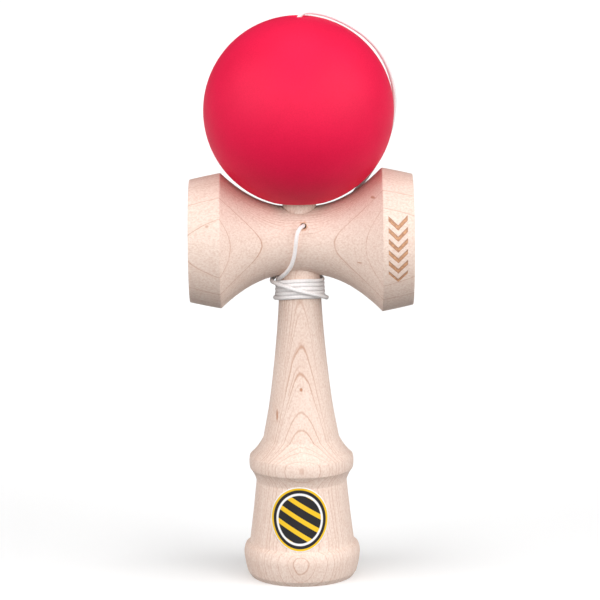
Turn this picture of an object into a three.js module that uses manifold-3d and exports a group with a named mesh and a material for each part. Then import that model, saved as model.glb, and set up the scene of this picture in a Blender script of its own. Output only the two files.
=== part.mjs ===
// A kendama: a turned wooden ken with a spike, a base cup and an oval label, the sarado (a crosspiece with
// a large and a small cup) pressed over it, and a painted tama sitting on the spike, tied on by a string.
// Millimetres, +Z up. The origin is on the ken's axis, in the plane of the rim that it stands on; the large
// cup faces +X, the small cup -X, and the label and the string hole face -Y.
import * as THREE from 'three';
import { mergeVertices } from 'three/addons/utils/BufferGeometryUtils.js';
import Module from 'manifold-3d';

const wasm = await Module();
wasm.setup();

// Shared
const TURNED_SIDES = 40; // facets round a turned piece
const GAP = 0.3; // clearance between pieces that touch

// Ken, from the floor up
const RIM_RADIUS = 16.4; // outside of the flat rim that it stands on
const BASE_CUP_RADIUS = 14.2;
const BASE_CUP_DEPTH = 7;
const FOOT_RADIUS = 18.6; // widest, at FOOT_WIDEST_Z
const FOOT_WIDEST_Z = 7.2;
const FOOT_TOP_RADIUS = 18.05;
const FOOT_TOP_Z = 10.3;
const FOOT_CHAMFER_RADIUS = 17.45; // top of the chamfer above the rim
const FOOT_CHAMFER_Z = 1.5;
const FOOT_LOWER_BULGE = 0.15; // of its side below the widest ring
const FOOT_UPPER_BULGE = 0.2; // and above it
const BARREL_BOTTOM_RADIUS = 16.75;
const BARREL_BOTTOM_Z = 11.3;
const BARREL_TOP_RADIUS = 14.38;
const BARREL_TOP_Z = 32.2;
const BARREL_BULGE = -0.1; // its side is very slightly hollow
const COLLAR_UNDER_RADIUS = 16.45; // where the undercut meets the collar
const COLLAR_UNDER_Z = 35.4;
const COLLAR_BULGE = 0.24;
const COLLAR_TOP_RADIUS = 16.45;
const COLLAR_TOP_Z = 39.5;
const SHOULDER_START_RADIUS = 15.9;
const SHOULDER_START_Z = 39.95;
const SHOULDER_RADIUS = 12.08; // where the collar's hollow shoulder runs into the handle
const SHOULDER_Z = 45.4;
const SHOULDER_BULGE = -0.3;
const SARADO_Z = 109; // height of the sarado's axis
// Handle radii at equal steps from the shoulder up to the sarado's axis, after the shoulder's own
const HANDLE_RADII = [10.14, 8.77, 7.68, 6.88, 6.4, 5.95];
const SPIKE_EXIT_RADIUS = 5.36; // where the spike leaves the sarado
const SPIKE_EXIT_RISE = 10; // above the sarado's axis
const SPIKE_MID_RADIUS = 4.6;
const SPIKE_END_RADIUS = 3.5; // where the rounded tip starts
const SPIKE_TIP_ROUND = 3; // height of the rounded tip
const SPIKE_TIP_BULGE = 1.1;

// Sarado, along X
const BIG_CUP_X = 35.8; // from the ken's axis to the rim's plane
const BIG_RIM_RADIUS = 20.7;
const BIG_EDGE_X = 26;
const BIG_EDGE_RADIUS = 22.7;
const BIG_DISH_DEPTH = 9;
const SMALL_CUP_X = 34.8;
const SMALL_RIM_RADIUS = 19.4;
const SMALL_EDGE_X = 24.9;
const SMALL_EDGE_RADIUS = 21.4;
const SMALL_DISH_DEPTH = 8;
const LIP = 1.6; // width of a cup's rim
const NECK_RADIUS = 10.8;
const NECK_HALF = 3; // half the straight middle of the neck
const FLARE_POWER = 1.97; // how late the neck opens out into a cup
const FLARE_STEPS = 8;
const EDGE_BAND = 0.4; // straight band at a cup's widest edge
const FLANK_BULGE = 0.06; // between that band and the rim
const RIM_EDGE = 0.4; // chamfer of the rim's outer edge

// Tama
const TAMA_RADIUS = 30;
const TAMA_OVER_NECK = 0.4; // the least air between the tama and the sarado's neck
const TAMA_OVER_EDGE = 1.8; // and a cup's widest edge
const BORE_RADIUS = 8.5;
const BORE_ABOVE_CENTRE = 13.8; // the bore's roof above the tama's centre
const MOUTH_CHAMFER = 0.5;
const ROOF_CHAMFER = 1; // where the bore's wall meets its roof
const TOP_HOLE_RADIUS = 1.5;
const FUNNEL_RADIUS = 3.4;
const FUNNEL_DEPTH = 3;

// String, bead and knots
const STRING_DIAMETER = 1.3;
const STRING_SIDES = 8;
const STRING_STEP = 3.4; // tube length per section
const STRING_HOLE_RADIUS = 1.05; // through the sarado's front and the ken
const STRING_HOLE_X = 1.2;
const STRING_HOLE_RISE = 5.9; // above the sarado's axis
const KNOT_RADIUS = 1.75;
const KNOT_POCKET_RADIUS = 2.2;
const KNOT_POCKET_DEPTH = 3.6; // below the ken's surface at the back
const WRAP_TURNS = 4; // turns that make the solid ring; the run adds the lowest one
const WRAP_UNDER_NECK = 0.95; // the windings' top below the neck's lowest line
const WRAP_THICKNESS = 0.85;
const BEAD_RADIUS = 3.75;
const BEAD_HEIGHT = 4.7;
const BEAD_HOLE_RADIUS = 1.1;
const STOP_KNOT_RADIUS = 2;
const STOP_KNOT_HEIGHT = 2.4;

// Label
const LABEL_WIDTH = 18.2;
const LABEL_HEIGHT = 20.6;
const LABEL_X = -0.7;
const LABEL_Z = 21.75;
const LABEL_THICKNESS = 0.25;

// The lead: out of the ken and the sarado's front, down the neck and to the windings' top left
const LEAD_ROUTE = [
  [1.2, 1.6, 114.9], [1.2, -2.5, 114.9], [1.2, -6.5, 114.9], [1.1, -9, 114.95], [0.45, -10.6, 114.8],
  [-0.35, -11.8, 113.9], [-0.85, -12.45, 112.4], [-1.1, -12.5, 110.7], [-1.3, -12.15, 108.7],
  [-1.6, -11.65, 106.6], [-2.1, -11, 104.4], [-2.9, -10, 102.2], [-4.1, -8.7, 100.3], [-5.5, -6.9, 98.7],
];
// The run: the lowest turn from the left round the back, over the windings' front to the left again, behind
// the handle and the neck, up over the tama's right side to its top, and down the top hole to the bead
const RUN_ROUTE = [
  [-7.95, -0.2, 90.6], [-6.45, 4.7, 90.6], [-2.45, 7.6, 90.9], [2.45, 7.6, 90.9], [6.45, 4.7, 90.6],
  [8.25, 0.8, 90.5], [8.4, -2.2, 90.85], [7.5, -4.8, 91.6], [4.9, -7.5, 92.7], [1, -8.9, 93.9],
  [-3.2, -8.35, 95], [-6.6, -6, 95.8], [-8.7, -2.1, 96.1], [-8.6, 2.6, 96.4], [-6, 6.8, 97.2],
  [-2, 9, 98.6], [2, 10.4, 101.2], [5.3, 12.1, 104.9], [8.5, 13.5, 109.2], [11.6, 13.4, 114.1],
  [14.6, 12.1, 118.6], [17.8, 10.4, 122.8], [21, 9, 127], [24.3, 8.3, 131.9], [27.3, 8, 137.9],
  [29.5, 7.4, 144.4], [30.4, 6.8, 151], [29.9, 6.2, 157.5], [28, 5.6, 163.6], [25, 4.9, 168.9],
  [21, 4.1, 173.2], [16.4, 3.2, 176.5], [11.6, 2.3, 179], [7, 1.4, 180.6], [3.3, 0.6, 181.1],
  [1.6, 0.3, 180.75], [0.45, 0.1, 179.7], [0, 0, 178.1], [0, 0, 174.5], [0, 0, 169.5], [0, 0, 164.5],
  [0, 0, 159.3],
];

// Worked out from the above
const seatOverNeck = NECK_RADIUS + TAMA_OVER_NECK + TAMA_RADIUS;
const seatOverEdge = (edgeX, edgeRadius) =>
  edgeRadius + Math.sqrt(Math.max(0, (TAMA_RADIUS + TAMA_OVER_EDGE) ** 2 - edgeX ** 2));
const tamaZ = SARADO_Z + Math.max(
  seatOverNeck,
  seatOverEdge(BIG_EDGE_X, BIG_EDGE_RADIUS),
  seatOverEdge(SMALL_EDGE_X, SMALL_EDGE_RADIUS),
);
const boreRoofZ = tamaZ + BORE_ABOVE_CENTRE;
const beadTopZ = boreRoofZ - GAP;
const beadBottomZ = beadTopZ - BEAD_HEIGHT;
const stopKnotTopZ = beadBottomZ - GAP;
const spikeTipZ = stopKnotTopZ - STOP_KNOT_HEIGHT - GAP;
const stringHoleZ = SARADO_Z + STRING_HOLE_RISE;
const wrapTopZ = SARADO_Z - NECK_RADIUS - WRAP_UNDER_NECK;
const wrapBottomZ = wrapTopZ - WRAP_TURNS * STRING_DIAMETER;

const at = (radius, along) => new THREE.Vector2(radius, along);

// Points of an arc from start to end that bulges by `bulge` to the right of its direction of travel.
function arc(start, end, bulge, steps) {
  const chord = end.clone().sub(start);
  const half = chord.length() / 2;
  const radius = (half * half + bulge * bulge) / (2 * bulge);
  const side = at(chord.y, -chord.x).normalize();
  const centre = start.clone().add(end).multiplyScalar(0.5).addScaledVector(side, bulge - radius);
  const from = Math.atan2(start.y - centre.y, start.x - centre.x);
  let sweep = Math.atan2(end.y - centre.y, end.x - centre.x) - from;
  if (bulge > 0 && sweep < 0) sweep += 2 * Math.PI;
  if (bulge < 0 && sweep > 0) sweep -= 2 * Math.PI;
  return Array.from({ length: steps + 1 }, (_, i) => {
    const angle = from + (sweep * i) / steps;
    return at(
      centre.x + Math.abs(radius) * Math.cos(angle),
      centre.y + Math.abs(radius) * Math.sin(angle),
    );
  });
}

// Drops points that repeat the one before, so that no lathe ring is doubled.
function distinct(points) {
  return points.filter((p, i) => i === 0 || p.distanceTo(points[i - 1]) > 1e-6);
}

// A solid turned about Z from (radius, height) points that run up its outside.
function turned(points, sides = TURNED_SIDES) {
  const geometry = new THREE.LatheGeometry(distinct(points), sides);
  geometry.rotateX(Math.PI / 2);
  return geometry;
}

function cylinderAlongY(radius, fromY, toY, sides = 16) {
  const geometry = new THREE.CylinderGeometry(radius, radius, toY - fromY, sides);
  geometry.translate(0, (fromY + toY) / 2, 0);
  return geometry;
}

// A tube through the points, in the string's diameter.
function stringTube(points) {
  const path = new THREE.CatmullRomCurve3(points.map((p) => new THREE.Vector3(...p)), false, 'centripetal');
  const section = new THREE.Shape();
  for (let i = 0; i < STRING_SIDES; i += 1) {
    const angle = (2 * Math.PI * i) / STRING_SIDES;
    const x = (STRING_DIAMETER / 2) * Math.cos(angle);
    const y = (STRING_DIAMETER / 2) * Math.sin(angle);
    if (i === 0) section.moveTo(x, y);
    else section.lineTo(x, y);
  }
  return new THREE.ExtrudeGeometry(section, {
    steps: Math.ceil(path.getLength() / STRING_STEP),
    extrudePath: path,
    bevelEnabled: false,
  });
}

function toSolid(geometry) {
  const bare = geometry.clone();
  bare.deleteAttribute('normal');
  bare.deleteAttribute('uv');
  const merged = mergeVertices(bare, 1e-4);
  return new wasm.Manifold(new wasm.Mesh({
    numProp: 3,
    vertProperties: new Float32Array(merged.attributes.position.array),
    triVerts: new Uint32Array(merged.index.array),
  }));
}

function toGeometry(solid) {
  const mesh = solid.getMesh();
  const geometry = new THREE.BufferGeometry();
  geometry.setAttribute('position', new THREE.BufferAttribute(new Float32Array(mesh.vertProperties), 3));
  geometry.setIndex(new THREE.BufferAttribute(new Uint32Array(mesh.triVerts), 1));
  geometry.computeVertexNormals();
  return geometry;
}

function cut(geometry, ...cutters) {
  return toGeometry(cutters.reduce((solid, cutter) => solid.subtract(toSolid(cutter)), toSolid(geometry)));
}

// (radius, height) points of the handle and the spike, from the shoulder to the start of the tip.
const shaftPoints = (() => {
  const step = (SARADO_Z - SHOULDER_Z) / HANDLE_RADII.length;
  const spikeEndZ = spikeTipZ - SPIKE_TIP_ROUND;
  const exitZ = SARADO_Z + SPIKE_EXIT_RISE;
  return new THREE.SplineCurve([
    at(SHOULDER_RADIUS, SHOULDER_Z),
    ...HANDLE_RADII.map((radius, i) => at(radius, SHOULDER_Z + step * (i + 1))),
    at(SPIKE_EXIT_RADIUS, exitZ),
    at(SPIKE_MID_RADIUS, (exitZ + spikeEndZ) / 2),
    at(SPIKE_END_RADIUS, spikeEndZ),
  ]).getPoints(16);
})();

// (radius, height) points of the barrel between the foot and the collar.
const barrelPoints = arc(
  at(BARREL_BOTTOM_RADIUS, BARREL_BOTTOM_Z),
  at(BARREL_TOP_RADIUS, BARREL_TOP_Z),
  BARREL_BULGE,
  3,
);

function shaftRadius(z) {
  const above = shaftPoints.findIndex((p) => p.y >= z);
  const [low, high] = [shaftPoints[above - 1], shaftPoints[above]];
  return THREE.MathUtils.mapLinear(z, low.y, high.y, low.x, high.x);
}

function kenGeometry() {
  const profile = [
    ...arc(at(0, BASE_CUP_DEPTH), at(BASE_CUP_RADIUS, 0), -capBulge(BASE_CUP_RADIUS, BASE_CUP_DEPTH), 5),
    at(RIM_RADIUS, 0),
    ...arc(at(FOOT_CHAMFER_RADIUS, FOOT_CHAMFER_Z), at(FOOT_RADIUS, FOOT_WIDEST_Z), FOOT_LOWER_BULGE, 2),
    ...arc(at(FOOT_RADIUS, FOOT_WIDEST_Z), at(FOOT_TOP_RADIUS, FOOT_TOP_Z), FOOT_UPPER_BULGE, 3),
    ...barrelPoints,
    ...arc(at(COLLAR_UNDER_RADIUS, COLLAR_UNDER_Z), at(COLLAR_TOP_RADIUS, COLLAR_TOP_Z), COLLAR_BULGE, 3),
    ...arc(at(SHOULDER_START_RADIUS, SHOULDER_START_Z), at(SHOULDER_RADIUS, SHOULDER_Z), SHOULDER_BULGE, 3),
    ...shaftPoints.slice(1),
    ...arc(at(SPIKE_END_RADIUS, spikeTipZ - SPIKE_TIP_ROUND), at(0, spikeTipZ), SPIKE_TIP_BULGE, 4),
  ];
  const hole = cylinderAlongY(STRING_HOLE_RADIUS, -2 * NECK_RADIUS, 2 * NECK_RADIUS);
  const surfaceY = shaftRadius(stringHoleZ);
  const pocket = cylinderAlongY(KNOT_POCKET_RADIUS, surfaceY - KNOT_POCKET_DEPTH, 2 * surfaceY);
  hole.translate(STRING_HOLE_X, 0, stringHoleZ);
  pocket.translate(STRING_HOLE_X, 0, stringHoleZ);
  return cut(turned(profile), hole, pocket);
}

// Rise of an arc's middle over its chord, for a cap of the given radius and depth seen from its pole.
function capBulge(radius, depth) {
  const sphere = (radius * radius + depth * depth) / (2 * depth);
  const chord = Math.hypot(radius, depth);
  return sphere - Math.sqrt(sphere * sphere - (chord * chord) / 4);
}

// (radius, distance from the ken's axis) points of one half of the sarado, from neck to dish.
function cupPoints(cupX, rimRadius, edgeX, edgeRadius, dishDepth) {
  const dishRadius = rimRadius - LIP;
  const flare = Array.from({ length: FLARE_STEPS + 1 }, (_, i) => {
    const t = i / FLARE_STEPS;
    const radius = THREE.MathUtils.lerp(NECK_RADIUS, edgeRadius, t ** FLARE_POWER);
    return at(radius, THREE.MathUtils.lerp(NECK_HALF, edgeX, t));
  });
  return [
    ...flare,
    ...arc(at(edgeRadius, edgeX + EDGE_BAND), at(rimRadius, cupX - RIM_EDGE), FLANK_BULGE, 3),
    at(rimRadius - RIM_EDGE, cupX),
    ...arc(at(dishRadius, cupX), at(0, cupX - dishDepth), -capBulge(dishRadius, dishDepth), 5),
  ];
}

function saradoGeometry() {
  const big = cupPoints(BIG_CUP_X, BIG_RIM_RADIUS, BIG_EDGE_X, BIG_EDGE_RADIUS, BIG_DISH_DEPTH);
  const small = cupPoints(SMALL_CUP_X, SMALL_RIM_RADIUS, SMALL_EDGE_X, SMALL_EDGE_RADIUS, SMALL_DISH_DEPTH);
  const profile = [...small.reverse().map((p) => at(p.x, -p.y)), ...big];
  const body = new THREE.LatheGeometry(distinct(profile), TURNED_SIDES);
  body.rotateZ(-Math.PI / 2);
  const reach = NECK_RADIUS + 2;
  const inside = shaftPoints.filter((p) => Math.abs(p.y - SARADO_Z) < reach);
  const ends = [SARADO_Z - reach, SARADO_Z + reach].map((z) => at(shaftRadius(z), z));
  const wall = [ends[0], ...inside, ends[1]].map((p) => at(p.x + GAP, p.y - SARADO_Z));
  const bore = turned([at(0, -reach), ...wall, at(0, reach)]);
  const hole = cylinderAlongY(STRING_HOLE_RADIUS, -2 * NECK_RADIUS, 0);
  hole.translate(STRING_HOLE_X, 0, STRING_HOLE_RISE);
  return cut(body, bore, hole);
}

function tamaGeometry() {
  const mouthAngle = Math.asin((BORE_RADIUS + MOUTH_CHAMFER) / TAMA_RADIUS) - Math.PI / 2;
  const topAngle = Math.acos(FUNNEL_RADIUS / TAMA_RADIUS);
  const ball = Array.from({ length: 19 }, (_, i) => {
    const angle = THREE.MathUtils.lerp(mouthAngle, topAngle, i / 18);
    return at(TAMA_RADIUS * Math.cos(angle), TAMA_RADIUS * Math.sin(angle));
  });
  const boreMouth = at(BORE_RADIUS, ball[0].y + MOUTH_CHAMFER);
  return turned([
    boreMouth,
    ...ball,
    at(TOP_HOLE_RADIUS, TAMA_RADIUS - FUNNEL_DEPTH),
    at(TOP_HOLE_RADIUS, BORE_ABOVE_CENTRE),
    at(BORE_RADIUS - ROOF_CHAMFER, BORE_ABOVE_CENTRE),
    at(BORE_RADIUS, BORE_ABOVE_CENTRE - ROOF_CHAMFER),
    boreMouth,
  ]);
}

// A thin oval shell that follows the barrel.
function labelGeometry() {
  const inner = barrelPoints.map((p) => at(p.x + GAP, p.y));
  const outer = barrelPoints.map((p) => at(p.x + GAP + LABEL_THICKNESS, p.y));
  const shell = turned([...outer, ...inner.reverse(), outer[0]]);
  const oval = cylinderAlongY(1, -2 * FOOT_RADIUS, 0, 32);
  oval.scale(LABEL_WIDTH / 2, 1, LABEL_HEIGHT / 2);
  oval.translate(LABEL_X, 0, LABEL_Z);
  return toGeometry(toSolid(shell).intersect(toSolid(oval)));
}

function wrapsGeometry() {
  const heights = [wrapBottomZ, (wrapBottomZ + wrapTopZ) / 2, wrapTopZ];
  const inner = heights.map((z) => at(shaftRadius(z) + GAP, z));
  const outer = inner.map((p) => at(p.x + WRAP_THICKNESS, p.y));
  return turned([inner[0], ...outer, ...inner.slice().reverse()], 24);
}

function beadGeometry() {
  const bottom = at(BEAD_HOLE_RADIUS, beadBottomZ);
  const top = at(BEAD_HOLE_RADIUS, beadTopZ);
  return turned([...arc(bottom, top, BEAD_RADIUS - BEAD_HOLE_RADIUS, 8), bottom], 16);
}

function knotGeometry(radius, height) {
  return turned(arc(at(0, -height / 2), at(0, height / 2), radius, 8), 14);
}

function piece(name, geometry, color, roughness, place = [0, 0, 0]) {
  const mesh = new THREE.Mesh(geometry, new THREE.MeshStandardMaterial({ color, roughness, metalness: 0 }));
  mesh.name = name;
  mesh.position.set(...place);
  return mesh;
}

const MAPLE = 0xf0d8c6;
const RED = 0xe21e48;
const WHITE = 0xf4f2ee;
const BEAD_COLOUR = 0xe7d3b4;
const LABEL_BLACK = 0x1c1b1e;

const kenKnotY = shaftRadius(stringHoleZ) - KNOT_POCKET_DEPTH / 2;

const group = new THREE.Group();
group.add(
  piece('ken', kenGeometry(), MAPLE, 0.55),
  piece('sarado', saradoGeometry(), MAPLE, 0.55, [0, 0, SARADO_Z]),
  piece('label', labelGeometry(), LABEL_BLACK, 0.35),
  piece('ken_knot', knotGeometry(KNOT_RADIUS, 2 * KNOT_RADIUS), WHITE, 0.85,
    [STRING_HOLE_X, kenKnotY, stringHoleZ]),
  piece('string_lead', stringTube(LEAD_ROUTE), WHITE, 0.85),
  piece('string_wraps', wrapsGeometry(), WHITE, 0.85),
  piece('string_run', stringTube(RUN_ROUTE), WHITE, 0.85),
  piece('string_bead', beadGeometry(), BEAD_COLOUR, 0.5),
  piece('string_stop_knot', knotGeometry(STOP_KNOT_RADIUS, STOP_KNOT_HEIGHT), WHITE, 0.85,
    [0, 0, stopKnotTopZ - STOP_KNOT_HEIGHT / 2]),
  piece('tama', tamaGeometry(), RED, 0.45, [0, 0, tamaZ]),
);

export default group;
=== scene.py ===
# A kendama: a turned maple ken with its spike, base cup and oval label, the sarado with its two cups, the
# painted tama on the spike, and the string that ties it on. Metres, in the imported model's own frame: +Z up
# the ken, +X towards the big cup, -Y towards the label.
import math
import random

import bpy
from mathutils import Matrix, Vector


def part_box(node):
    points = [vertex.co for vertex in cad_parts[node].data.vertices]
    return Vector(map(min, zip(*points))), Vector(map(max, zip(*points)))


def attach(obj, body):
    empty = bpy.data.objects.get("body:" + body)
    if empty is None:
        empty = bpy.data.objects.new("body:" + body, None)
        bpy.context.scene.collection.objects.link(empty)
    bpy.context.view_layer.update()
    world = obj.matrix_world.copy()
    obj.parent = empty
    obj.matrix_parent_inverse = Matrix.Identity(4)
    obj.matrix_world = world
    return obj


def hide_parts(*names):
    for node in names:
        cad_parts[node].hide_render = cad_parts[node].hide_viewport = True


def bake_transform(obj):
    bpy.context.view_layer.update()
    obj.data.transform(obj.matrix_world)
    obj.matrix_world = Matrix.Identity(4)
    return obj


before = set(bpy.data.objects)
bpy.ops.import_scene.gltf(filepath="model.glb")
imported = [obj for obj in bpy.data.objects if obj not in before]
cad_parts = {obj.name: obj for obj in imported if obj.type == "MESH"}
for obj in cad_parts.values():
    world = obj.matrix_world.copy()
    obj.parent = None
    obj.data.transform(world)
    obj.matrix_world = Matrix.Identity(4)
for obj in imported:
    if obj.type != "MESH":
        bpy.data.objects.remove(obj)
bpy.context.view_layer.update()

MM = 0.001

# Sizes of the turned pieces, in millimetres: pairs are (radius, height above the standing rim)
BASE_CUP_RADIUS = 14.2
BASE_CUP_DEPTH = 7
RIM = (16.4, 0)
FOOT_CHAMFER = (17.45, 1.5)
FOOT_WIDEST = (18.6, 7.2)
FOOT_TOP = (18.05, 10.3)
BARREL_BOTTOM = (16.75, 11.3)
BARREL_TOP = (14.45, 31.3)
COLLAR_UNDER = (16.45, 35.4)
COLLAR_TOP = (16.45, 39.5)
SHOULDER_START = (15.9, 39.95)
SHOULDER = (12.08, 45.4)

# How far each arc's middle stands off its chord: positive is convex
FOOT_LOWER_BULGE = 0.15
FOOT_UPPER_BULGE = 0.2
BARREL_BULGE = -0.1
COVE_BULGE = -0.27
COLLAR_BULGE = 0.24
SHOULDER_BULGE = -0.3
TIP_BULGE = 1.1
CUP_FLANK_BULGE = 0.06

# Corners are eased over these lengths
KEN_SOFTENING = 0.1
CUP_SOFTENING = 0.13
TAMA_SOFTENING = 0.15
BEAD_SOFTENING = 0.12

SARADO_Z = 109
HANDLE_RADII = (10.14, 8.77, 7.68, 6.88, 6.4, 5.95)
SPIKE_EXIT = (5.36, 119)
SPIKE_MIDDLE = (4.6, 136)
SPIKE_END = (3.5, 153)
SPIKE_TIP_Z = 156

BIG_CUP = {"face": 35.8, "rim": 20.7, "edge": 26, "edge_radius": 22.7, "dish": 9}
SMALL_CUP = {"face": 34.8, "rim": 19.4, "edge": 24.9, "edge_radius": 21.4, "dish": 8}
CUP_LIP = 1.6
NECK_RADIUS = 10.8
NECK_HALF = 3
FLARE_POWER = 1.97
EDGE_BAND = 0.4
BORE_CLEARANCE = 0.3

TAMA_RADIUS = 30
TAMA_CLEARANCE = 0.4
TAMA_Z = SARADO_Z + NECK_RADIUS + TAMA_RADIUS + TAMA_CLEARANCE
BORE_RADIUS = 8.5
BORE_ROOF = 13.8
BORE_CHAMFER = 0.5
ROOF_CHAMFER = 1
TOP_HOLE_RADIUS = 1.5
FUNNEL_RADIUS = 3.4
FUNNEL_DEPTH = 3

STRING_DIAMETER = 1.3
STRING_HOLE_RADIUS = 0.92
STRING_HOLE = (1.2, 114.9)
KNOT_POCKET_RADIUS = 2.2
KNOT_POCKET_FLOOR = 2.1
BEAD_HOLE_RADIUS = 1.1

LABEL_SIZE = (18.2, 20.6)
LABEL_CENTRE = (-0.7, 21.75)
LABEL_LIFT = 0.03
LABEL_THICKNESS = 0.12

# The string's route in metres: out of the ken and down to the windings, then from the windings to the bead
LEAD_ROUTE = [
    (0.0012, 0.0016, 0.1149), (0.0012, -0.0025, 0.1149), (0.0012, -0.0065, 0.1149),
    (0.0011, -0.009, 0.11495), (0.00045, -0.0106, 0.1148), (-0.00035, -0.0118, 0.1139),
    (-0.00085, -0.01245, 0.1124), (-0.0011, -0.0125, 0.1107), (-0.0013, -0.01215, 0.1087),
    (-0.0016, -0.01165, 0.1066), (-0.0021, -0.011, 0.1044), (-0.0029, -0.01, 0.1022),
    (-0.0041, -0.0087, 0.1003), (-0.0055, -0.0069, 0.0987),
]
RUN_ROUTE = [
    (-0.00795, -0.0002, 0.0906), (-0.00645, 0.0047, 0.0906), (-0.00245, 0.0076, 0.0909),
    (0.00245, 0.0076, 0.0909), (0.00645, 0.0047, 0.0906), (0.00825, 0.0008, 0.0905),
    (0.0084, -0.0022, 0.09085), (0.0075, -0.0048, 0.0916), (0.0049, -0.0075, 0.0927),
    (0.001, -0.0089, 0.0939), (-0.0032, -0.00835, 0.095), (-0.0066, -0.006, 0.0958),
    (-0.0087, -0.0021, 0.0961), (-0.0086, 0.0026, 0.0964), (-0.006, 0.0068, 0.0972),
    (-0.002, 0.009, 0.0986), (0.002, 0.0104, 0.1012), (0.0053, 0.0121, 0.1049), (0.0085, 0.0135, 0.1092),
    (0.0116, 0.0134, 0.1141), (0.0146, 0.0121, 0.1186), (0.0178, 0.0104, 0.1228), (0.021, 0.009, 0.127),
    (0.0243, 0.0083, 0.1319), (0.0273, 0.008, 0.1379), (0.0295, 0.0074, 0.1444), (0.0304, 0.0068, 0.151),
    (0.0299, 0.0062, 0.1575), (0.028, 0.0056, 0.1636), (0.025, 0.0049, 0.1689), (0.021, 0.0041, 0.1732),
    (0.0164, 0.0032, 0.1765), (0.0116, 0.0023, 0.179), (0.007, 0.0014, 0.1806), (0.0033, 0.0006, 0.1811),
    (0.0016, 0.0003, 0.18075), (0.00045, 0.0001, 0.1797), (0, 0, 0.1781), (0, 0, 0.1745), (0, 0, 0.1695),
    (0, 0, 0.1645), (0, 0, 0.1593),
]
WINDING_TURNS = 5
WINDING_TOP = 97.74
WINDING_PITCH = 1.27
WINDING_SADDLE = 0.5
WINDING_POINTS = 24
WINDING_CLEARANCE = 0.05
STRING_STEP = 0.15


# ---------------------------------------------------------------- node trees

def socket_of(sockets, key):
    """A socket by its place or its identifier."""
    if isinstance(key, int):
        return sockets[key]
    return next(socket for socket in sockets if socket.identifier == key)


class Value:
    """A socket of a node tree. Arithmetic on it adds Math nodes."""

    def __init__(self, nodes, socket):
        self.nodes = nodes
        self.socket = socket

    def other(self, key):
        """Another output of the same node."""
        return Value(self.nodes, socket_of(self.socket.node.outputs, key))

    def maths(self, operation, *values):
        return self.nodes.add("ShaderNodeMath", dict(enumerate(values)), operation=operation)

    def __add__(self, other):
        return self.maths("ADD", self, other)

    def __sub__(self, other):
        return self.maths("SUBTRACT", self, other)

    def __rsub__(self, other):
        return self.maths("SUBTRACT", other, self)

    def __mul__(self, other):
        return self.maths("MULTIPLY", self, other)

    def __truediv__(self, other):
        return self.maths("DIVIDE", self, other)

    def __pow__(self, other):
        return self.maths("POWER", self, other)

    def __abs__(self):
        return self.maths("ABSOLUTE", self)

    __radd__ = __add__
    __rmul__ = __mul__

    def least(self, other):
        return self.maths("MINIMUM", self, other)

    def most(self, other):
        return self.maths("MAXIMUM", self, other)

    def rise(self, low, high):
        """0 below low and 1 above high, smooth between them."""
        inputs = {"Value": self, "From Min": low, "From Max": high}
        return self.nodes.add("ShaderNodeMapRange", inputs, interpolation_type="SMOOTHSTEP")

    def fall(self, low, high):
        """1 below low and 0 above high, smooth between them."""
        inputs = {"Value": self, "From Min": low, "From Max": high, "To Min": 1, "To Max": 0}
        return self.nodes.add("ShaderNodeMapRange", inputs, interpolation_type="SMOOTHSTEP")


class Nodes:
    """The nodes of one tree, added one by one."""

    def __init__(self, tree):
        self.tree = tree

    def add(self, kind, inputs=None, output=0, stops=(), **settings):
        """A node with its settings and then its inputs, as the Value of one of its outputs."""
        node = self.tree.nodes.new(kind)
        for name, value in settings.items():
            setattr(node, name, value)
        for i, (place, colour) in enumerate(stops):
            ramp = node.color_ramp.elements
            stop = ramp[i] if i < 2 else ramp.new(place)
            stop.position = place
            stop.color = colour
        for key, value in (inputs or {}).items():
            self.feed(value, socket_of(node.inputs, key))
        return Value(self, socket_of(node.outputs, output))

    def feed(self, value, socket):
        if isinstance(value, Value):
            self.tree.links.new(value.socket, socket)
        else:
            socket.default_value = value


# ---------------------------------------------------------------- Geometry Nodes

SOCKETS = {
    "geometry": "NodeSocketGeometry",
    "count": "NodeSocketInt",
    "size": "NodeSocketFloat",
    "vector": "NodeSocketVector",
    "material": "NodeSocketMaterial",
    "object": "NodeSocketObject",
}


class ShapeTree(Nodes):
    """A Geometry Nodes tree whose inputs are named; it ends in Realize Instances and Set Material."""

    def __init__(self, name, **inputs):
        super().__init__(bpy.data.node_groups.new(name, "GeometryNodeTree"))
        self.tree.interface.new_socket("Geometry", in_out="OUTPUT", socket_type=SOCKETS["geometry"])
        for label, kind in {"Geometry": "geometry", **inputs, "Material": "material"}.items():
            self.tree.interface.new_socket(label, in_out="INPUT", socket_type=SOCKETS[kind])
        self.group = self.tree.nodes.new("NodeGroupInput")

    def input(self, label):
        return Value(self, self.group.outputs[label])

    def finish(self, geometry):
        smooth = self.add("GeometryNodeSetShadeSmooth", {"Geometry": geometry, "Shade Smooth": True})
        real = self.add("GeometryNodeRealizeInstances", {"Geometry": smooth})
        inputs = {"Geometry": real, "Material": self.input("Material")}
        painted = self.add("GeometryNodeSetMaterial", inputs)
        end = self.tree.nodes.new("NodeGroupOutput")
        self.tree.links.new(painted.socket, end.inputs[0])
        return self.tree

    def placed(self, geometry, position):
        return self.add("GeometryNodeSetPosition", {"Geometry": geometry, "Position": position})

    def point(self, x, y, z):
        return self.add("ShaderNodeCombineXYZ", {0: x, 1: y, 2: z})

    def parts(self, vector):
        x = self.add("ShaderNodeSeparateXYZ", {0: vector})
        return x, x.other(1), x.other(2)


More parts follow.
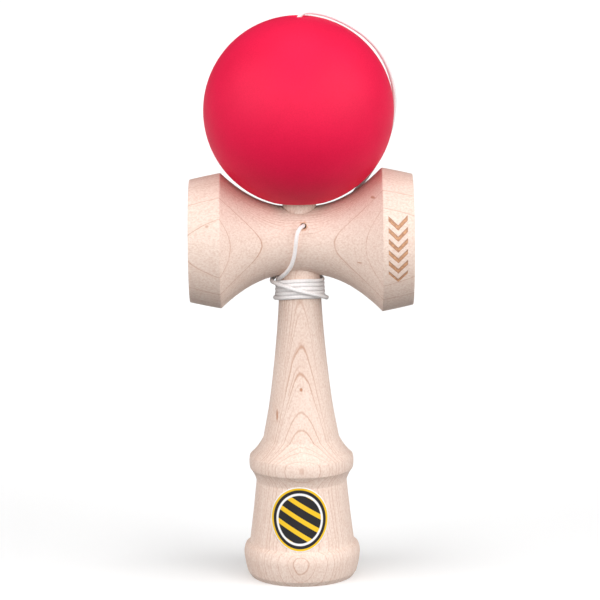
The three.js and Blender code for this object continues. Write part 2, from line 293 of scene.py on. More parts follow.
def turned_tree(cutters):
    """Turns the host's points, (radius, 0, height) from one end to the other, and takes the cutters away."""
    labels = [f"Cutter {i + 1}" for i in range(cutters)]
    tree = ShapeTree(f"turned_{cutters}", Sides="count", Turn="vector", Place="vector",
                     **{label: "object" for label in labels})
    profile = tree.input("Geometry")
    rows = tree.add("GeometryNodeAttributeDomainSize", {"Geometry": profile}, component="MESH")
    grid = tree.add("GeometryNodeMeshGrid", {
        "Size X": 1.0, "Size Y": 1.0, "Vertices X": tree.input("Sides") + 1, "Vertices Y": rows})
    across, up, _ = tree.parts(tree.add("GeometryNodeInputPosition"))
    row = tree.add("ShaderNodeMath", {0: (up + 0.5) * (rows - 1) + 0.5}, operation="FLOOR")
    point = tree.add("GeometryNodeSampleIndex", {
        "Geometry": profile, "Value": tree.add("GeometryNodeInputPosition"), "Index": row},
        data_type="FLOAT_VECTOR", domain="POINT")
    radius, _, height = tree.parts(point)
    angle = (across + 0.5) * math.tau
    turned = tree.placed(grid, tree.point(
        radius * angle.maths("COSINE", angle), radius * angle.maths("SINE", angle), height))
    closed = tree.add("GeometryNodeMergeByDistance", {"Geometry": turned, "Distance": 1e-6})
    shape = tree.add("GeometryNodeTransform", {
        "Geometry": closed, "Rotation": tree.input("Turn"), "Translation": tree.input("Place")})
    for label in labels:
        cutter = tree.add("GeometryNodeObjectInfo", {"Object": tree.input(label)}, "Geometry")
        shape = tree.add("GeometryNodeMeshBoolean", {"Mesh 1": shape, "Mesh 2": cutter},
                         operation="DIFFERENCE", solver="MANIFOLD")
    return tree.finish(shape)


def tube_tree():
    """A tube along the host's line, with lengthwise grooves that lie in a slow twist."""
    tree = ShapeTree("tube", Radius="size", Sides="count", Grooves="count", Depth="size", Twist="size")
    line = tree.add("GeometryNodeMeshToCurve", {"Mesh": tree.input("Geometry")})
    ring = tree.add("GeometryNodeCurvePrimitiveCircle", {
        "Resolution": tree.input("Sides"), "Radius": tree.input("Radius")})
    along = captured(tree, line, tree.add("GeometryNodeSplineParameter", output="Length"), "FLOAT")
    middle = captured(tree, along["geometry"], tree.add("GeometryNodeInputPosition"), "VECTOR")
    around = captured(tree, ring, tree.add("GeometryNodeInputIndex"), "FLOAT")
    tube = tree.add("GeometryNodeCurveToMesh", {
        "Curve": middle["geometry"], "Profile Curve": around["geometry"], "Fill Caps": True})
    angle = around["value"] / tree.input("Sides") * math.tau
    lay = angle * tree.input("Grooves") + along["value"] * tree.input("Twist")
    groove = (0.5 - 0.5 * lay.maths("COSINE", lay)) ** 3 * tree.input("Depth")
    out = tree.add("ShaderNodeVectorMath", {
        0: tree.add("GeometryNodeInputPosition"), 1: middle["value"]}, operation="SUBTRACT")
    sunk = tree.add("ShaderNodeVectorMath", {0: out, "Scale": groove * -1}, operation="SCALE")
    grooved = tree.add("GeometryNodeSetPosition", {"Geometry": tube, "Offset": sunk})
    strand = tree.point(
        angle.maths("COSINE", angle), angle.maths("SINE", angle), along["value"] / tree.input("Radius"))
    marked = tree.add("GeometryNodeStoreNamedAttribute", {
        "Geometry": grooved, "Name": "strand", "Value": strand}, data_type="FLOAT_VECTOR", domain="POINT")
    return tree.finish(marked)


def captured(tree, geometry, value, kind):
    """Keeps a value of the geometry's points for later nodes."""
    node = tree.tree.nodes.new("GeometryNodeCaptureAttribute")
    node.capture_items.new(kind, "value")
    node.domain = "POINT"
    tree.feed(geometry, node.inputs[0])
    tree.feed(value, node.inputs[1])
    return {"geometry": Value(tree, node.outputs[0]), "value": Value(tree, node.outputs[1])}


def grown(name, tree, points, material, closed=False, **inputs):
    """An object grown by a tree from a line of points, turned into a plain mesh."""
    mesh = bpy.data.meshes.new(name)
    last = [(len(points) - 1, 0)] if closed else []
    mesh.from_pydata(points, [(i, i + 1) for i in range(len(points) - 1)] + last, [])
    piece = bpy.data.objects.new(name, mesh)
    bpy.context.scene.collection.objects.link(piece)
    growth = piece.modifiers.new("growth", "NODES")
    growth.node_group = tree
    wanted = {**inputs, "Material": material}
    for item in tree.interface.items_tree:
        label = item.name.replace(" ", "_")
        if item.in_out == "INPUT" and label in wanted:
            growth[item.identifier] = wanted[label]
    depsgraph = bpy.context.evaluated_depsgraph_get()
    plain = bpy.data.meshes.new_from_object(piece.evaluated_get(depsgraph))
    piece.modifiers.remove(growth)
    piece.data = plain
    plain.name = name
    bpy.data.meshes.remove(mesh)
    return piece


# ---------------------------------------------------------------- outlines

def arc(start, end, bulge, steps):
    """Points of an arc from start to end that bulges by `bulge` to the right of its direction of travel."""
    start, end = Vector(start), Vector(end)
    chord = end - start
    half = chord.length / 2
    radius = (half * half + bulge * bulge) / (2 * bulge)
    side = Vector((chord.y, -chord.x)).normalized()
    centre = (start + end) / 2 + side * (bulge - radius)
    first = math.atan2(start.y - centre.y, start.x - centre.x)
    sweep = math.atan2(end.y - centre.y, end.x - centre.x) - first
    if bulge > 0 and sweep < 0:
        sweep += math.tau
    if bulge < 0 and sweep > 0:
        sweep -= math.tau
    angles = [first + sweep * i / steps for i in range(steps + 1)]
    return [centre + abs(radius) * Vector((math.cos(a), math.sin(a))) for a in angles]


def straight(start, end, steps=4):
    return [Vector(start).lerp(Vector(end), i / steps) for i in range(steps + 1)]


def cap_bulge(radius, depth):
    """Rise of an arc's middle over its chord, for half of a cap of that radius and depth."""
    sphere = (radius * radius + depth * depth) / (2 * depth)
    chord = math.hypot(radius, depth)
    return sphere - math.sqrt(sphere * sphere - chord * chord / 4)


def spline(points, steps, power):
    """Catmull-Rom points through the given ones: power 0 is uniform, 0.5 centripetal."""
    points = [Vector(p) for p in points]
    points = [points[0] * 2 - points[1], *points, points[-1] * 2 - points[-2]]
    made = []
    for a, b, c, d in zip(points, points[1:], points[2:], points[3:]):
        gaps = [(q - p).length ** power for p, q in ((a, b), (b, c), (c, d))]
        out = ((b - a) / gaps[0] - (c - a) / (gaps[0] + gaps[1]) + (c - b) / gaps[1]) * gaps[1]
        into = ((c - b) / gaps[1] - (d - b) / (gaps[1] + gaps[2]) + (d - c) / gaps[2]) * gaps[1]
        for i in range(steps):
            t = i / steps
            made.append(b * (2 * t**3 - 3 * t**2 + 1) + out * (t**3 - 2 * t**2 + t)
                        + c * (3 * t**2 - 2 * t**3) + into * (t**3 - t**2))
    return [*made, points[-2]]


def shortened(points, length):
    """The line without that length at its end."""
    points = list(points)
    while len(points) > 2 and (points[-1] - points[-2]).length <= length:
        length -= (points[-1] - points[-2]).length
        points.pop()
    step = points[-2] - points[-1]
    points[-1] = points[-1] + step * min(0.9, length / step.length)
    return points


def outline(spans, soften):
    """One line through the spans, each corner between two of them eased over the length `soften`."""
    line = list(spans[0])
    for span in spans[1:]:
        corner = span[0]
        line = shortened(line, soften)
        rest = shortened(span[::-1], soften)[::-1]
        for i in range(1, 5):
            t = i / 5
            line.append(line_point(line[-i], corner, rest[0], t))
        line += rest
    return line


def line_point(start, corner, end, t):
    """A point of the quadratic curve that eases a corner."""
    return start * (1 - t) ** 2 + corner * 2 * t * (1 - t) + end * t**2


# ---------------------------------------------------------------- shaders

class Finish(Nodes):
    """A material. Its patterns read Object coordinates in millimetres."""

    def __init__(self, name):
        self.material = bpy.data.materials.new(name)
        self.material.use_nodes = True
        super().__init__(self.material.node_tree)
        self.tree.nodes.clear()
        where = self.add("ShaderNodeTexCoord", output="Object")
        self.place = self.add("ShaderNodeVectorMath", {0: where, "Scale": 1 / MM}, operation="SCALE")
        self.x = self.add("ShaderNodeSeparateXYZ", {0: self.place})
        self.y = self.x.other(1)
        self.z = self.x.other(2)

    def point(self, x, y, z):
        return self.add("ShaderNodeCombineXYZ", {0: x, 1: y, 2: z})

    def noise(self, place, stretch, detail=2.0, roughness=0.5):
        """Noise from 0 to 1 whose features are 1 / stretch millimetres long on each axis."""
        scaled = self.add("ShaderNodeVectorMath", {0: place, 1: stretch}, operation="MULTIPLY")
        return self.add("ShaderNodeTexNoise", {
            "Vector": scaled, "Scale": 1.0, "Detail": detail, "Roughness": roughness}, "Fac")

    def mix(self, factor, a, b, blend="MIX"):
        inputs = {"Factor_Float": factor, "A_Color": a, "B_Color": b}
        return self.add("ShaderNodeMix", inputs, "Result_Color", data_type="RGBA", blend_type=blend)

    def bump(self, height, distance, normal=None):
        inputs = {"Height": height, "Distance": distance, "Strength": 1.0}
        if normal:
            inputs["Normal"] = normal
        return self.add("ShaderNodeBump", inputs)

    def surface(self, colour, roughness, normal=None, **constants):
        shader = self.tree.nodes.new("ShaderNodeBsdfPrincipled")
        for name, value in constants.items():
            shader.inputs[name.replace("_", " ")].default_value = value
        self.feed(colour, shader.inputs["Base Color"])
        self.feed(roughness, shader.inputs["Roughness"])
        if normal:
            self.feed(normal, shader.inputs["Normal"])
        end = self.tree.nodes.new("ShaderNodeOutputMaterial")
        self.tree.links.new(shader.outputs[0], end.inputs["Surface"])
        return self.material


MAPLE_PALE = (0.87, 0.71, 0.62, 1)
MAPLE_DEEP = (0.75, 0.555, 0.46, 1)
MAPLE_RING = (0.50, 0.23, 0.13, 1)
SCORCH_LIGHT = (0.62, 0.30, 0.13, 1)
SCORCH_DARK = (0.36, 0.14, 0.05, 1)


def ring_set(seed, near, back):
    """The growth rings near the front, then random ones behind them as far as depth `back`."""
    draw = random.Random(seed)
    rings = list(near)
    depth = near[0][0]
    while depth > back:
        depth -= draw.uniform(0.7, 2.2)
        rings.append((depth, draw.uniform(0.06, 0.12), draw.uniform(0.3, 0.9)))
    return rings


def maple(finish, along, across, depth, rings, bow, tilt, seed):
    """Colour, roughness and height of maple: `along` runs with the grain, `depth` through the rings."""
    solid = finish.point(across, depth, along + seed)
    sway = finish.noise(solid, (0.05, 0.05, 0.02), 1.0)
    wobble = finish.noise(solid, (0.35, 0.35, 0.12), 2.0)
    through = depth + across * across * bow + across * tilt + (sway - 0.5) * 0.6 + (wobble - 0.5) * 0.3
    line = None
    shade = None
    for place, width, strength in rings:
        sharp = abs(through - place).fall(0, width) * strength
        soft = abs(through - place + 0.3).fall(0.1, 0.4) * (strength * 0.3)
        line = sharp if line is None else line.most(sharp)
        shade = soft if shade is None else shade.most(soft)
    patchy = finish.noise(solid, (0.2, 0.2, 0.06), 2.0).rise(0.3, 0.6)
    side_grain = through.fall(8.5, 12) * (across.fall(-4, 2) * 0.9 + 0.1) * patchy
    fine = (through * 1.45).maths("PINGPONG", through * 1.45, 0.5)
    line = line.most(fine.fall(0, 0.13) * side_grain * 0.75)
    fibre = finish.noise(solid, (2.0, 2.0, 1.3), 3.0, 0.65)
    fleck = finish.noise(solid, (1.9, 1.9, 1.3), 2.0, 0.6)
    streak = finish.noise(solid, (0.55, 0.55, 0.03), 3.0)
    tone = (streak - 0.5) * 0.6 + (fibre - 0.5) * 2.8 + (fleck - 0.5) * 2.2 + 0.4
    colour = finish.mix(tone.most(0).least(1), MAPLE_PALE, MAPLE_DEEP)
    colour = finish.mix(shade * patchy, colour, MAPLE_DEEP)
    colour = finish.mix(line * (patchy * 0.4 + 0.6) * 0.72, colour, MAPLE_RING)
    roughness = 0.50 + fibre * 0.12
    height = fibre * 0.6 + fleck * 0.4 - line * 0.6
    return colour, roughness, height


# The rings that show in front, as (depth, width, strength)
KEN_RINGS = (
    (7.69, 0.12, 0.9), (8.57, 0.12, 0.9), (10.26, 0.12, 0.9),
    (11.28, 0.12, 0.9), (12.56, 0.1, 0.7), (13.44, 0.1, 0.8), (15.42, 0.1, 0.8),
    (17.45, 0.08, 0.6), (18.17, 0.1, 0.9),
)
SARADO_RINGS = (
    (4.7, 0.1, 0.7), (6.0, 0.1, 0.8), (12.45, 0.16, 1.0), (15.6, 0.06, 0.2), (18.2, 0.13, 0.9),
)

# Flecks as (along, across, half length, half width, strength)
KEN_FLECKS = ((62.5, 0.1, 0.9, 0.7, 1), (53.9, -7.6, 2.6, 0.45, 0.9), (37.7, 0.1, 1.7, 1.2, 0.35))
SARADO_FLECKS = ((22.9, 15.4, 1.2, 0.5, 0.8), (18.7, -4.7, 1.3, 0.35, 0.7), (-28.8, 7.7, 0.8, 0.6, 0.6))


def flecked(finish, colour, along, across, front, flecks):
    """The colour with brown flecks, where front is 1."""
    for place, side, length, width, strength in flecks:
        off_along = (along - place) / length
        off_across = (across - side) / width
        away = (off_along * off_along + off_across * off_across) ** 0.5
        colour = finish.mix(away.fall(0.3, 1) * front * strength, colour, MAPLE_RING)
    return colour


def ken_wood():
    finish = Finish("ken_maple")
    depth = finish.y * -1 - abs(finish.x + 1.5) * finish.z.fall(9, 14) * 0.09
    colour, roughness, height = maple(
        finish, finish.z, finish.x, depth, ring_set(3, KEN_RINGS, -19), -0.012, 0.02, 0.0)
    colour = flecked(finish, colour, finish.z, finish.x, (finish.y * -1).rise(0, 1), KEN_FLECKS)
    turning = finish.noise(finish.point(0.0, 0.0, finish.z), (1, 1, 2.2), 2.0)
    normal = finish.bump(height + turning * 0.5, 0.03 * MM)
    return finish.surface(colour, roughness, normal, Specular_IOR_Level=0.35)


# The chevrons on the big cup's side: their column, the height where they start, and their spacing
CHEVRON_X = 30.6
CHEVRON_HALF_WIDTH = 3
CHEVRON_BOTTOM = 99.0
CHEVRON_PITCH = 3.4
CHEVRON_SLOPE = 0.28
CHEVRON_MIDDLE_STEP = 2.85
CHEVRON_HALF_STEPS = 2.9


def scorched(finish):
    """The burnt mark on the big cup's side: a column of chevrons, as (mask, dark core)."""
    column = abs(finish.x - CHEVRON_X)
    step = (finish.z - CHEVRON_BOTTOM) / CHEVRON_PITCH - column * CHEVRON_SLOPE
    beside = column.fall(CHEVRON_HALF_WIDTH - 0.1, CHEVRON_HALF_WIDTH + 0.1)
    inside = beside * abs(step - CHEVRON_MIDDLE_STEP).fall(CHEVRON_HALF_STEPS, CHEVRON_HALF_STEPS + 0.05)
    up = finish.z - SARADO_Z
    from_axis = (finish.y * finish.y + up * up) ** 0.5
    outside_dish = from_axis.rise(BIG_CUP["rim"] - CUP_LIP + 0.2, BIG_CUP["rim"] - 0.4)
    front = (finish.y * -1).rise(5, 6) * outside_dish
    wave = step.maths("PINGPONG", step, 0.5)
    bar = wave.fall(0.2, 0.25) * inside * front
    core = wave.fall(0.1, 0.2)
    return bar, core


def sarado_wood():
    finish = Finish("sarado_maple")
    depth = finish.y * -1 + finish.x * 0.018
    colour, roughness, height = maple(
        finish, finish.x, SARADO_Z - finish.z, depth, ring_set(8, SARADO_RINGS, -23), -0.01, -0.06, 40.0)
    colour = flecked(
        finish, colour, finish.x, finish.z - SARADO_Z, (finish.y * -1).rise(11, 12), SARADO_FLECKS)
    bar, core = scorched(finish)
    patch = finish.noise(finish.place, (1.2, 1.2, 1.2), 3.0).rise(0.3, 0.7)
    burn = finish.mix(core * patch, SCORCH_DARK, SCORCH_LIGHT)
    colour = finish.mix(bar * 0.85, colour, burn)
    off_x = finish.x - STRING_HOLE[0]
    off_z = finish.z - STRING_HOLE[1]
    from_hole = (off_x * off_x + off_z * off_z) ** 0.5 + (patch - 0.5) * 0.5
    stain = from_hole.fall(STRING_HOLE_RADIUS, STRING_HOLE_RADIUS + 0.7) * 0.6
    colour = finish.mix(stain, colour, SCORCH_LIGHT)
    normal = finish.bump(height - bar * 4, 0.03 * MM)
    return finish.surface(colour, roughness, normal, Specular_IOR_Level=0.35)


def tama_paint():
    """Soft rubbery red paint outside; bare wood in the bore."""
    finish = Finish("tama_rubber_paint")
    from_axis = (finish.x * finish.x + finish.y * finish.y) ** 0.5
    bare = from_axis.fall(BORE_RADIUS + 0.05, BORE_RADIUS + 0.35)
    bare = bare * finish.z.fall(TAMA_Z + BORE_ROOF, TAMA_Z + BORE_ROOF + 1)
    cloud = finish.noise(finish.place, (0.08, 0.08, 0.08), 3.0)
    speck = finish.noise(finish.place, (2.2, 2.2, 2.2), 2.0)
    red = finish.mix((cloud - 0.5) * 0.6 + speck * 0.7, (0.86, 0.010, 0.070, 1), (0.66, 0.005, 0.044, 1))
    fibre = finish.noise(finish.place, (2.0, 2.0, 0.3), 3.0)
    wood = finish.mix(fibre, MAPLE_PALE, MAPLE_DEEP)
    grain = finish.noise(finish.place, (3.5, 3.5, 3.5), 2.0)
    normal = finish.bump(grain + cloud * 2, 0.02 * MM)
    roughness = 0.52 + speck * 0.08
    return finish.surface(
        finish.mix(bare, red, wood), roughness, normal, Specular_IOR_Level=0.18)


def string_white():
    """White braided nylon; the braid follows the strand attribute (cosine, sine, length / radius)."""
    finish = Finish("string_braid")
    strand = finish.add("ShaderNodeAttribute", output="Vector", attribute_name="strand")
    cosine = finish.add("ShaderNodeSeparateXYZ", {0: strand})
    angle = cosine.maths("ARCTAN2", cosine.other(1), cosine)
    lay = cosine.other(2) * 2.2
    one = (angle * 8 + lay).maths("SINE", angle * 8 + lay)
    two = (angle * 8 - lay).maths("SINE", angle * 8 - lay)
    braid = one.most(two)
    fuzz = finish.noise(finish.place, (6, 6, 6), 3.0)
    # Painted shade: the colour darkens in the braid's valleys where the strands dip, mixed with random fuzz
    # tone
    tone = (1 - braid) * 0.25 + fuzz * 0.35
    colour = finish.mix(tone, (0.97, 0.95, 0.95, 1), (0.80, 0.75, 0.74, 1))
    normal = finish.bump(braid * 0.6 + fuzz * 0.4, 0.03 * MM)
    return finish.surface(colour, 0.7, normal, Sheen_Weight=0.15)


def bead_wood():
    finish = Finish("bead_wood")
    fibre = finish.noise(finish.place, (2.5, 2.5, 0.5), 3.0)
    colour = finish.mix(fibre, (0.78, 0.62, 0.42, 1), (0.62, 0.45, 0.27, 1))
    return finish.surface(colour, 0.45, finish.bump(fibre, 0.02 * MM))


def label_print():
    """Printed oval: pale border, yellow ring, black field with an inner oval line and slanted bands."""
    finish = Finish("label_print")
    right = (finish.x - LABEL_CENTRE[0]) / (LABEL_SIZE[0] / 2)
    up = (finish.z - LABEL_CENTRE[1]) / (LABEL_SIZE[1] / 2)
    out = (right * right + up * up) ** 0.5
    white = (0.86, 0.85, 0.84, 1)
    yellow = (0.84, 0.52, 0.02, 1)
    black = (0.012, 0.011, 0.013, 1)
    slant = right * 0.55 + up
    wave = (slant * 2.2).maths("PINGPONG", slant * 2.2, 0.5)
    colour = finish.mix(wave.fall(0.17, 0.19), black, yellow)
    colour = finish.mix(out.rise(0.73, 0.75), colour, white)
    colour = finish.mix(out.rise(0.80, 0.82), colour, black)
    colour = finish.mix(out.rise(0.90, 0.92), colour, yellow)
    colour = finish.mix(out.rise(0.965, 0.98), colour, white)
    scuff = finish.noise(finish.place, (1.5, 1.5, 1.5), 3.0)
    return finish.surface(colour, 0.3 + scuff * 0.15, finish.bump(scuff, 0.01 * MM), Specular_IOR_Level=0.2)


def floor_paper():
    finish = Finish("floor_paper")
    tooth = finish.noise(finish.place, (0.3, 0.3, 0.3), 2.0)
    colour = finish.mix(tooth, (0.95, 0.95, 0.95, 1), (0.93, 0.93, 0.93, 1))
    return finish.surface(
        colour, 0.9, Specular_IOR_Level=0.0, Emission_Color=(1, 1, 1, 1), Emission_Strength=0.12)


# ---------------------------------------------------------------- camera

CAMERA_PLACE = (-0.00003, -1.0, 0.2763)
CAMERA_PITCH = 10.57
CAMERA_ROLL = -0.48
CAMERA_LENS = 192.06


def make_camera():
    data = bpy.data.cameras.new("camera")
    data.sensor_width = 36
    data.lens = CAMERA_LENS
    data.clip_end = 50
    camera = bpy.data.objects.new("camera", data)
    pitch = Matrix.Rotation(math.radians(90 - CAMERA_PITCH), 4, "X")
    roll = Matrix.Rotation(math.radians(CAMERA_ROLL), 4, "Z")
    camera.matrix_world = Matrix.Translation(CAMERA_PLACE) @ pitch @ roll
    bpy.context.scene.collection.objects.link(camera)
    bpy.context.scene.camera = camera


# ---------------------------------------------------------------- pieces

def shaft_points():
    """(radius, height) of the handle and the spike, from the shoulder to the start of the tip."""
    step = (SARADO_Z - SHOULDER[1]) / len(HANDLE_RADII)
    handle = [(radius, SHOULDER[1] + step * (i + 1)) for i, radius in enumerate(HANDLE_RADII)]
    return spline([SHOULDER, *handle, SPIKE_EXIT, SPIKE_MIDDLE, SPIKE_END], 16, 0)


SHAFT = shaft_points()


def shaft_radius(z):
    for low, high in zip(SHAFT, SHAFT[1:]):
        if low.y <= z <= high.y:
            return low.x + (high.x - low.x) * (z - low.y) / (high.y - low.y)
    raise ValueError(f"the shaft doesn't reach height {z}")


BARREL = arc(BARREL_BOTTOM, BARREL_TOP, BARREL_BULGE, 24)
COVE = arc(BARREL_TOP, COLLAR_UNDER, COVE_BULGE, 14)


def string_line():
    """Centres of the string's rings, evenly spaced, from its knot in the ken to the bead in the tama."""
    start = math.atan2(LEAD_ROUTE[-1][1], LEAD_ROUTE[-1][0]) + math.tau
    sweep = start - (math.atan2(RUN_ROUTE[0][1], RUN_ROUTE[0][0]) + math.tau) + math.tau * WINDING_TURNS
    count = round(sweep / math.tau * WINDING_POINTS)
    windings = []
    for i in range(2, count - 1):
        turned = sweep * i / count
        angle = start - turned
        saddle = WINDING_SADDLE * math.cos(2 * angle)
        z = WINDING_TOP - WINDING_PITCH * turned / math.tau - saddle
        radius = shaft_radius(z) + STRING_DIAMETER / 2 + WINDING_CLEARANCE
        windings.append((radius * math.cos(angle) * MM, radius * math.sin(angle) * MM, z * MM))
    fine = spline([*LEAD_ROUTE, *windings, *RUN_ROUTE], 24, 0.5)
    return evenly(fine, STRING_STEP * MM)


def evenly(points, step):
    """The line again, with points about a step apart."""
    reached = [0.0]
    for a, b in zip(points, points[1:]):
        reached.append(reached[-1] + (b - a).length)
    count = math.ceil(reached[-1] / step)
    made = []
    i = 0
    for n in range(count + 1):
        target = reached[-1] * n / count
        while i < len(points) - 2 and reached[i + 1] < target:
            i += 1
        made.append(points[i].lerp(points[i + 1], (target - reached[i]) / (reached[i + 1] - reached[i])))
    return made


def line_length(points):
    return sum((b - a).length for a, b in zip(points, points[1:]))


def knot_line(centre, size):
    """A closed trefoil, the heart of an overhand knot."""
    made = []
    for i in range(72):
        t = math.tau * i / 72
        across = math.sin(t) + 2 * math.sin(2 * t)
        back = math.cos(t) - 2 * math.cos(2 * t)
        up = -1.3 * math.sin(3 * t)
        made.append(Vector(centre) + size * Vector((across, back, up)) / 3)
    return made


def make_string(tube, material):
    line = string_line()
    piece = grown("string", tube, line, material, Radius=STRING_DIAMETER / 2 * MM, Sides=22, Grooves=7,
                  Depth=0.12, Twist=900.0)
    knots = []
    for node in ("ken_knot", "string_stop_knot"):
        low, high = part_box(node)
        half = min(high - low) / 2
        radius = STRING_DIAMETER / 2 * MM
        knot = grown(f"{node}_tied", tube, knot_line((low + high) / 2, half - radius), material, closed=True,
                     Radius=radius * 0.8, Sides=14, Grooves=7, Depth=0.12, Twist=0.0)
        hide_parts(node)
        knots.append(knot)
    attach(knots[0], "ken_body")
    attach(knots[1], "string_end")
    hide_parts("string_lead", "string_wraps", "string_run")
    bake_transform(piece)
    return piece, knots, line


def turned(name, profile, material, sides, cutters=(), turn=(0, 0, 0), place=(0, 0, 0)):
    """A turned piece from (radius, height) points in millimetres."""
    points = [(p.x * MM, 0, p.y * MM) for p in profile]
    inputs = {f"Cutter_{i + 1}": cutter for i, cutter in enumerate(cutters)}
    return grown(name, turned_tree(len(cutters)), points, material, Sides=sides,
                 Turn=turn, Place=[c * MM for c in place], **inputs)


def cutting_pin(radius, first, last, x, z):
    """A cylinder along Y from first to last, for cutting."""
    profile = straight((0, 0), (radius, 0), 1) + straight((radius, last - first), (0, last - first), 1)
    return turned("pin", profile, None, 48, turn=(-math.pi / 2, 0, 0), place=(x, first, z))


def remove(pieces):
    for piece in pieces:
        bpy.data.objects.remove(piece)


def make_ken(material):
    spans = [
        arc((0, BASE_CUP_DEPTH), (BASE_CUP_RADIUS, 0), -cap_bulge(BASE_CUP_RADIUS, BASE_CUP_DEPTH), 28),
        straight((BASE_CUP_RADIUS, 0), RIM),
        straight(RIM, FOOT_CHAMFER),
        arc(FOOT_CHAMFER, FOOT_WIDEST, FOOT_LOWER_BULGE, 10),
        arc(FOOT_WIDEST, FOOT_TOP, FOOT_UPPER_BULGE, 12),
        straight(FOOT_TOP, BARREL_BOTTOM),
        BARREL,
        COVE,
        arc(COLLAR_UNDER, COLLAR_TOP, COLLAR_BULGE, 14),
        straight(COLLAR_TOP, SHOULDER_START),
        arc(SHOULDER_START, SHOULDER, SHOULDER_BULGE, 14),
        SHAFT,
        arc(SPIKE_END, (0, SPIKE_TIP_Z), TIP_BULGE, 16),
    ]
    hole = cutting_pin(STRING_HOLE_RADIUS, -15, 15, *STRING_HOLE)
    pocket = cutting_pin(KNOT_POCKET_RADIUS, KNOT_POCKET_FLOOR, 12, *STRING_HOLE)
    ken = turned("ken_turned", outline(spans, KEN_SOFTENING), material, 224, [hole, pocket])
    remove([hole, pocket])
    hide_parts("ken")
    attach(ken, "ken_body")


def cup_spans(cup):
    """Spans of half of the sarado, from its neck to its dish, as (radius, distance from the ken's axis)."""
    flare = []
    for i in range(41):
        t = i / 40
        radius = NECK_RADIUS + (cup["edge_radius"] - NECK_RADIUS) * t**FLARE_POWER
        flare.append(Vector((radius, NECK_HALF + (cup["edge"] - NECK_HALF) * t)))
    band = (cup["edge_radius"], cup["edge"] + EDGE_BAND)
    dish = cup["rim"] - CUP_LIP
    return [
        flare,
        straight((cup["edge_radius"], cup["edge"]), band),
        arc(band, (cup["rim"], cup["face"]), CUP_FLANK_BULGE, 14),
        straight((cup["rim"], cup["face"]), (dish, cup["face"])),
        arc((dish, cup["face"]), (0, cup["face"] - cup["dish"]), -cap_bulge(dish, cup["dish"]), 32),
    ]


def make_sarado(material):
    big = outline(cup_spans(BIG_CUP), CUP_SOFTENING)
    small = outline(cup_spans(SMALL_CUP), CUP_SOFTENING)
    neck = straight((NECK_RADIUS, -NECK_HALF), (NECK_RADIUS, NECK_HALF), 8)[1:-1]
    profile = [Vector((p.x, -p.y)) for p in reversed(small)] + neck + big
    reach = NECK_RADIUS + 2
    inside = [p for p in SHAFT if abs(p.y - SARADO_Z) < reach]
    wall = [Vector((p.x + BORE_CLEARANCE, p.y)) for p in inside]
    ends = [Vector((0, wall[0].y)), Vector((0, wall[-1].y))]
    bore = turned("bore", [ends[0], *wall, ends[1]], None, 160)
    hole = cutting_pin(STRING_HOLE_RADIUS, -16, 0, *STRING_HOLE)
    sarado = turned("sarado_turned", profile, material, 288, [bore, hole],
                    turn=(0, math.pi / 2, 0), place=(0, 0, SARADO_Z))
    remove([bore, hole])
    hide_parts("sarado")
    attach(sarado, "ken_body")


def make_tama(material):
    low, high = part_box("tama")
    middle = (low.x + high.x) / 2
    mouth = math.asin((BORE_RADIUS + BORE_CHAMFER) / TAMA_RADIUS) - math.pi / 2
    top = math.acos(FUNNEL_RADIUS / TAMA_RADIUS)
    ball = []
    for i in range(181):
        angle = mouth + (top - mouth) * i / 180
        ball.append(TAMA_RADIUS * Vector((math.cos(angle), math.sin(angle))))
    bore_mouth = (BORE_RADIUS, ball[0].y + BORE_CHAMFER)
    bore_top = (BORE_RADIUS, BORE_ROOF - ROOF_CHAMFER)
    spans = [
        straight(bore_mouth, ball[0]),
        ball,
        straight(ball[-1], (TOP_HOLE_RADIUS, TAMA_RADIUS - FUNNEL_DEPTH)),
        straight((TOP_HOLE_RADIUS, TAMA_RADIUS - FUNNEL_DEPTH), (TOP_HOLE_RADIUS, BORE_ROOF)),
        straight((TOP_HOLE_RADIUS, BORE_ROOF), (BORE_RADIUS - ROOF_CHAMFER, BORE_ROOF)),
        straight((BORE_RADIUS - ROOF_CHAMFER, BORE_ROOF), bore_top),
        straight(bore_top, bore_mouth, 24),
    ]
    tama = turned("tama_painted", outline(spans, TAMA_SOFTENING), material, 256, place=(middle, 0, TAMA_Z))
    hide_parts("tama")
    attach(tama, "tama_body")


def make_bead(material):
    low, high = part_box("string_bead")
    radius = (high.x - low.x) / 2 / MM
    height = (high.z - low.z) / MM
    bottom, top = (BEAD_HOLE_RADIUS, 0), (BEAD_HOLE_RADIUS, height)
    spans = [arc(bottom, top, radius - BEAD_HOLE_RADIUS, 40), straight(top, bottom, 8)]
    bead = turned("bead_turned", outline(spans, BEAD_SOFTENING), material, 72, place=(0, 0, low.z / MM))
    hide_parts("string_bead")
    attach(bead, "string_end")
    return bead


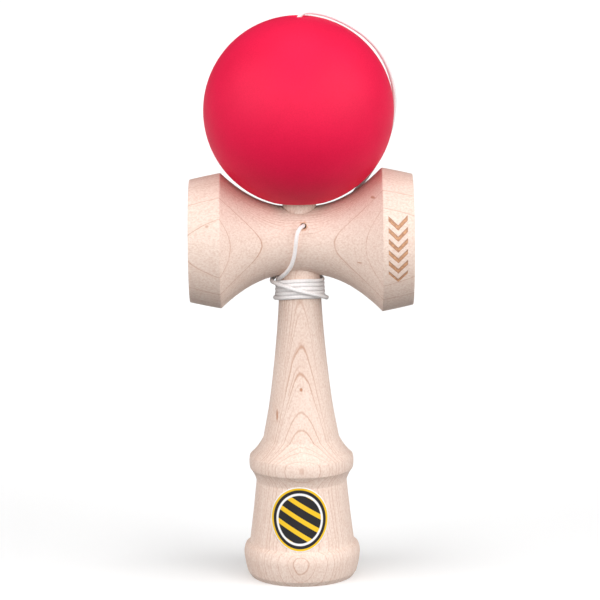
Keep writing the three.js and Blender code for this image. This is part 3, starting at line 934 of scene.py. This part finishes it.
def make_label(material):
    """A thin oval that follows the barrel, with a rolled edge."""
    wall = BARREL + COVE[1:]
    heights = [p.y for p in wall]
    rings = [(i / 24, LABEL_THICKNESS) for i in range(24)]
    rings += [(1.0, LABEL_THICKNESS * 0.8), (1.004, LABEL_THICKNESS * 0.4), (1.0, 0)]
    rings += [(i / 8, 0) for i in range(7, -1, -1)]
    sides = 128
    points, faces = [], []
    for share, lift in rings:
        for k in range(sides):
            angle = math.tau * k / sides
            x = LABEL_CENTRE[0] + LABEL_SIZE[0] / 2 * share * math.cos(angle)
            z = LABEL_CENTRE[1] + LABEL_SIZE[1] / 2 * share * math.sin(angle)
            n = min(range(len(heights) - 1), key=lambda i: abs((heights[i] + heights[i + 1]) / 2 - z))
            t = (z - heights[n]) / (heights[n + 1] - heights[n])
            radius = wall[n].x + (wall[n + 1].x - wall[n].x) * t + LABEL_LIFT + lift
            points.append((x * MM, -math.sqrt(radius * radius - x * x) * MM, z * MM))
    for i in range(len(rings) - 1):
        for k in range(sides):
            a, b = i * sides + k, i * sides + (k + 1) % sides
            faces.append((a, a + sides, b + sides, b))
    mesh = bpy.data.meshes.new("label_sticker")
    mesh.from_pydata(points, [], faces)
    mesh.materials.append(material)
    merged = bpy.data.objects.new("label_sticker", mesh)
    bpy.context.scene.collection.objects.link(merged)
    weld = merged.modifiers.new("weld", "WELD")
    weld.merge_threshold = 1e-6
    depsgraph = bpy.context.evaluated_depsgraph_get()
    plain = bpy.data.meshes.new_from_object(merged.evaluated_get(depsgraph))
    merged.modifiers.remove(weld)
    merged.data = plain
    plain.shade_smooth()
    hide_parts("label")
    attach(merged, "ken_body")


# ---------------------------------------------------------------- studio

def make_floor():
    size = 12
    mesh = bpy.data.meshes.new("floor")
    corners = [(-size, -size, 0), (size, -size, 0), (size, size, 0), (-size, size, 0)]
    mesh.from_pydata(corners, [], [(0, 1, 2, 3)])
    mesh.materials.append(floor_paper())
    floor = bpy.data.objects.new("floor", mesh)
    bpy.context.scene.collection.objects.link(floor)
    floor.visible_diffuse = False


def make_light(name, kind, energy, direction, **settings):
    """A light that shines along `direction`."""
    data = bpy.data.lights.new(name, kind)
    data.energy = energy
    for key, value in settings.items():
        setattr(data, key, value)
    light = bpy.data.objects.new(name, data)
    light.rotation_euler = Vector(direction).to_track_quat("-Z", "Y").to_euler()
    bpy.context.scene.collection.objects.link(light)
    return light


def make_studio():
    make_light("top", "SUN", 0.6, (0.0, 0.0, -1.0), angle=math.radians(40))
    make_light("front", "SUN", 1.4, (0.0, 0.97, -0.24), angle=math.radians(50))
    make_light("left", "SUN", 2.0, (0.785, 0.453, -0.423), angle=math.radians(60))
    make_light("right", "SUN", 2.4, (-0.785, 0.453, -0.423), angle=math.radians(60))
    world = bpy.data.worlds.new("studio")
    world.use_nodes = True
    background = world.node_tree.nodes["Background"]
    background.inputs["Color"].default_value = (1, 1, 1, 1)
    nodes = Nodes(world.node_tree)
    seen_directly = nodes.add("ShaderNodeLightPath")
    nodes.feed(seen_directly * 0.85 + 0.12, background.inputs["Strength"])
    bpy.context.scene.world = world
    bpy.context.scene.view_settings.view_transform = "Standard"


# ---------------------------------------------------------------- the whole

def main():
    make_camera()
    string, knots, line = make_string(tube_tree(), string_white())
    make_ken(ken_wood())
    make_sarado(sarado_wood())
    make_tama(tama_paint())
    bead = make_bead(bead_wood())
    make_label(label_print())
    line_length(line)
    make_floor()
    make_studio()


main()
